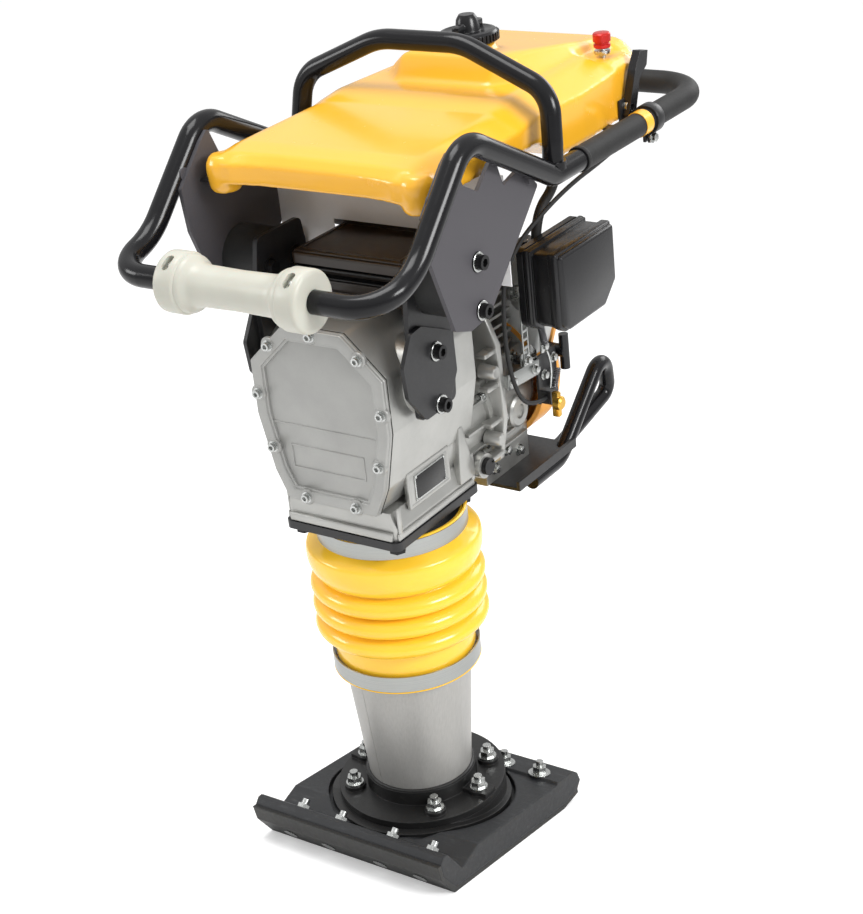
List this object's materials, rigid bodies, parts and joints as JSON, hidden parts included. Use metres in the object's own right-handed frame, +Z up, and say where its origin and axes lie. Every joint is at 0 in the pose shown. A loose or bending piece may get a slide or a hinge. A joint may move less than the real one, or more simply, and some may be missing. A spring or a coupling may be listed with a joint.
{
  "type": "jumping jack rammer",
  "caption": "Upright tamping rammer with a flat shoe, bellows-covered ramming leg, crankcase, small engine, yellow fuel tank and a rubber-mounted tubular hand frame.",
  "frame": {"origin": "middle of the flat sole, on the ground under the ramming leg", "axes": "+Z up, -Y towards the transport roller, +Y towards the hand loop, +X the air cleaner side"},
  "size_m": [0.3771, 0.7266, 0.9801],
  "materials": {
    "sole_steel": "dark worn steel plate",
    "shoe_black": "satin black",
    "foot_black": "black painted casting",
    "zinc": "zinc plated",
    "machined_steel": "ground steel",
    "gear_steel": "hardened steel",
    "spring_steel": "oiled spring steel",
    "leg_grey": "satin grey",
    "cast_alloy": "fine cast, silver grey",
    "dark_grey": "textured powder coat",
    "black_paint": "gloss black",
    "bellows_yellow": "glossy",
    "tank_yellow": "gloss",
    "black_plastic": "satin",
    "gloss_black": "gloss",
    "knob_red": "gloss",
    "black_rubber": "dull",
    "roller_cream": "satin",
    "foam": "open foam",
    "ceramic": "boot"
  },
  "bodies": {
    "foot": {"shoe_block": "shoe_black", "sole_plate": "sole_steel", "shoe_bolts": "zinc", "foot_casting": "foot_black", "clamp_flange": "foot_black", "foot_studs": "zinc", "leg_sleeve": "leg_grey", "lower_band": "zinc", "spring_cylinder": "machined_steel", "ram_springs": "spring_steel"},
    "chassis": {"bellows": "bellows_yellow", "upper_band": "zinc", "guide_cylinder": "cast_alloy", "damper_plate": "black_rubber", "damper_bolts": "zinc", "crankcase": "cast_alloy", "oil_plug": "zinc", "cover_gasket": "black_rubber", "gear_cover": "cast_alloy", "cover_screws": "zinc", "shaft_bearings": "machined_steel", "engine_block": "cast_alloy", "control_bracket": "zinc", "cylinder_fins": "cast_alloy", "cylinder_head": "cast_alloy", "spark_plug": "ceramic", "recoil_housing": "cast_alloy", "air_cleaner_cover": "gloss_black", "air_filter": "foam", "air_cleaner_base": "black_plastic", "carburettor": "cast_alloy", "muffler": "dark_grey", "intake_box": "black_plastic", "guard_plate": "black_paint", "guard_bar": "black_paint", "mount_brackets": "dark_grey", "bracket_bolts": "zinc", "rubber_mounts": "black_rubber"},
    "crank": {"crank_gear": "gear_steel"},
    "rod": {"con_rod": "gear_steel"},
    "ram": {"piston_rod": "machined_steel"},
    "clutch": {"clutch_drum": "gear_steel"},
    "engine_shaft": {"crankshaft": "gear_steel"},
    "starter": {"starter_pulley": "black_plastic"},
    "rope_grip": {"starter_grip": "black_plastic"},
    "handle": {"handle_frame": "black_paint", "loop_sleeve": "black_rubber", "lift_hoop": "black_paint", "side_plates": "dark_grey", "side_bolts": "zinc", "fuel_tank": "tank_yellow", "lever_bracket": "black_plastic", "throttle_cable": "black_rubber", "fuel_hose": "black_rubber"},
    "roller": {"roller_halves": "roller_cream"},
    "cap": {"fuel_cap": "black_plastic"},
    "vent": {"vent_knob": "knob_red"},
    "lever": {"throttle_lever": "black_plastic"},
    "throttle": {"throttle_arm": "zinc"},
    "choke": {"choke_lever": "zinc"}
  },
  "joints": [
    {"name": "leg_stroke", "type": "slide", "parent": "foot", "child": "chassis", "axis": [0, -0.1736, 0.9848], "range_m": [-0.025, 0.04], "stiffness_N_per_m": 60000, "springref_m": 0.0071, "deforming": ["bellows", "ram_springs"]},
    {"name": "ram_slide", "type": "slide", "parent": "chassis", "child": "ram", "axis": [0, -0.1736, 0.9848], "range_m": [-0.02, 0.02], "stiffness_N_per_m": 20000, "springref_m": 0.00124, "deforming": ["ram_springs"]},
    {"name": "wrist_pin", "type": "hinge", "parent": "ram", "child": "rod", "pos_m": [0, -0.0771, 0.49925], "axis": [0, 0.9848, 0.1736], "range_deg": [-10.7, 10.7]},
    {"name": "crank_spin", "type": "hinge", "parent": "chassis", "child": "crank", "pos_m": [0, -0.06284, 0.59113], "axis": [0, 0.9848, 0.1736], "continuous": true},
    {"name": "pinion_spin", "type": "hinge", "parent": "chassis", "child": "clutch", "pos_m": [0, -0.04838, 0.50914], "axis": [0, 0.9848, 0.1736], "continuous": true},
    {"name": "engine_spin", "type": "hinge", "parent": "chassis", "child": "engine_shaft", "pos_m": [0, 0.0698, 0.52998], "axis": [0, 0.9848, 0.1736], "continuous": true},
    {"name": "rope_pull", "type": "slide", "parent": "chassis", "child": "rope_grip", "axis": [1, 0, 0], "range_m": [0, 0.4], "stiffness_N_per_m": 12, "springref_m": -0.25},
    {"name": "starter_spin", "type": "hinge", "parent": "chassis", "child": "starter", "pos_m": [0, 0.16828, 0.54734], "axis": [0, 0.9848, 0.1736], "range_deg": [-20, 1020]},
    {"name": "handle_flex", "type": "hinge", "parent": "chassis", "child": "handle", "pos_m": [0, -0.13077, 0.71725], "axis": [1, 0, 0], "range_deg": [-3, 3], "stiffness_Nm_per_rad": 900, "springref_deg": 0.51, "deforming": ["rubber_mounts", "throttle_cable", "fuel_hose"]},
    {"name": "roller_spin", "type": "hinge", "parent": "handle", "child": "roller", "pos_m": [0, -0.32043, 0.72747], "axis": [1, 0, 0], "continuous": true},
    {"name": "cap_turn", "type": "hinge", "parent": "handle", "child": "cap", "pos_m": [0, 0.09628, 0.94412], "axis": [0, -0.1736, 0.9848], "range_deg": [0, 90]},
    {"name": "vent_turn", "type": "hinge", "parent": "handle", "child": "vent", "pos_m": [0.11, 0.21214, 0.93206], "axis": [0, -0.1736, 0.9848], "range_deg": [0, 270]},
    {"name": "throttle_turn", "type": "hinge", "parent": "handle", "child": "lever", "pos_m": [0.148, 0.21323, 0.86828], "axis": [1, 0, 0], "range_deg": [-8, 50]},
    {"name": "throttle_arm_turn", "type": "hinge", "parent": "chassis", "child": "throttle", "pos_m": [0.092, 0.07488, 0.72], "axis": [0, -0.1736, 0.9848], "range_deg": [-7, 36]},
    {"name": "choke_turn", "type": "hinge", "parent": "chassis", "child": "choke", "pos_m": [0.074, 0.07522, 0.71803], "axis": [0, -0.1736, 0.9848], "range_deg": [0, 48]}
  ],
  "couplings": [
    {"joint": "pinion_spin", "follows": "crank_spin", "ratio": -4.2857},
    {"joint": "throttle_arm_turn", "follows": "throttle_turn", "ratio": 0.7},
    {"joint": "starter_spin", "follows": "rope_pull", "rad_per_m": 42.5}
  ]
}
